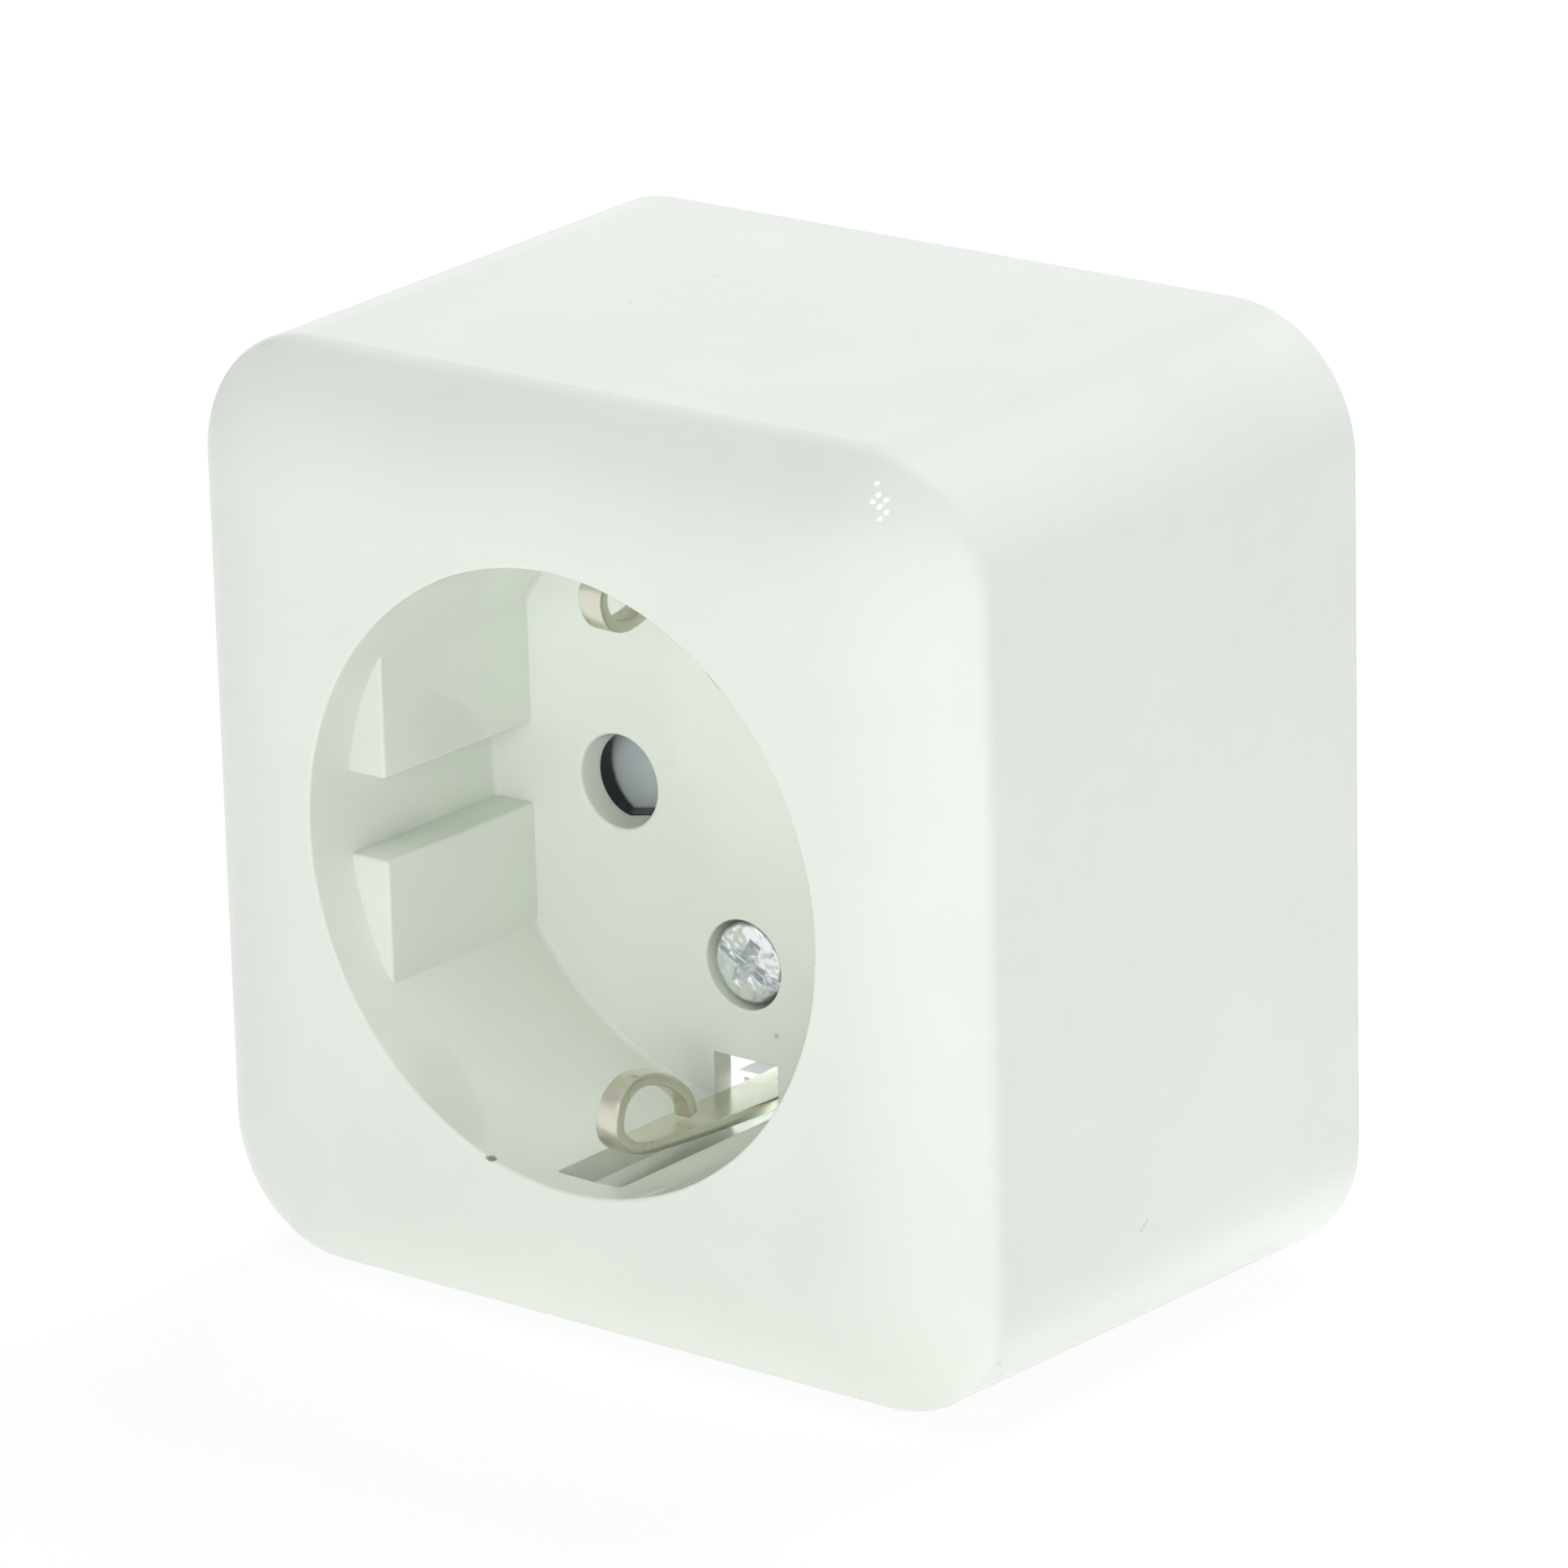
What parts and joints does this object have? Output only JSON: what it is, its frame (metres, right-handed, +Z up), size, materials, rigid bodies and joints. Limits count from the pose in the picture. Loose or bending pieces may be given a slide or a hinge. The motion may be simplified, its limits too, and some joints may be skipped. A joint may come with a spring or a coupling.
{
  "type": "surface mounted socket",
  "caption": "Square surface mounted power socket with a round plug recess, side earth clips and a turning shutter behind the pin holes.",
  "frame": {"origin": "centre of the face that lies on the wall", "axes": "+X to the right of someone who faces the socket, +Y into the wall, +Z up"},
  "size_m": [0.0612, 0.0394, 0.0612],
  "materials": {
    "cream": "glossy off-white moulding with a faint green tone",
    "white": "plain white moulding",
    "thermoset": "dull light grey insulating moulding",
    "black": "matt black moulding",
    "grey": "slate grey moulding",
    "nickel": "nickel plated, slightly dull and warm",
    "brass": "bare brass",
    "zinc": "bright zinc plated",
    "spring_steel": "bare spring steel"
  },
  "bodies": {
    "housing": {"cover": "cream", "base_plate": "white", "contact_block": "thermoset", "shutter_carrier": "black", "shutter_pin": "spring_steel", "shutter_spring": "spring_steel", "earth_strip": "nickel", "left_contact": "brass", "right_contact": "brass", "left_contact_spring": "spring_steel", "right_contact_spring": "spring_steel", "left_terminal_nut": "zinc", "right_terminal_nut": "zinc", "left_terminal_clamp": "zinc", "right_terminal_clamp": "zinc", "left_terminal_screw": "zinc", "right_terminal_screw": "zinc", "earth_terminal_clamp": "zinc", "earth_terminal_screw": "zinc", "lower_cover_screw": "zinc", "upper_cover_screw": "zinc", "lower_screw_insert": "brass", "upper_screw_insert": "brass", "left_block_screw": "zinc", "right_block_screw": "zinc"},
    "shutter": {"shutter": "grey"}
  },
  "joints": [
    {"name": "shutter_turn", "type": "hinge", "parent": "housing", "child": "shutter", "pos_m": [0, -0.0173, 0], "axis": [0, -1, 0], "range_deg": [0, 38], "stiffness_Nm_per_rad": 0.002, "springref_deg": -17.19, "deforming": ["shutter_spring"]}
  ]
}
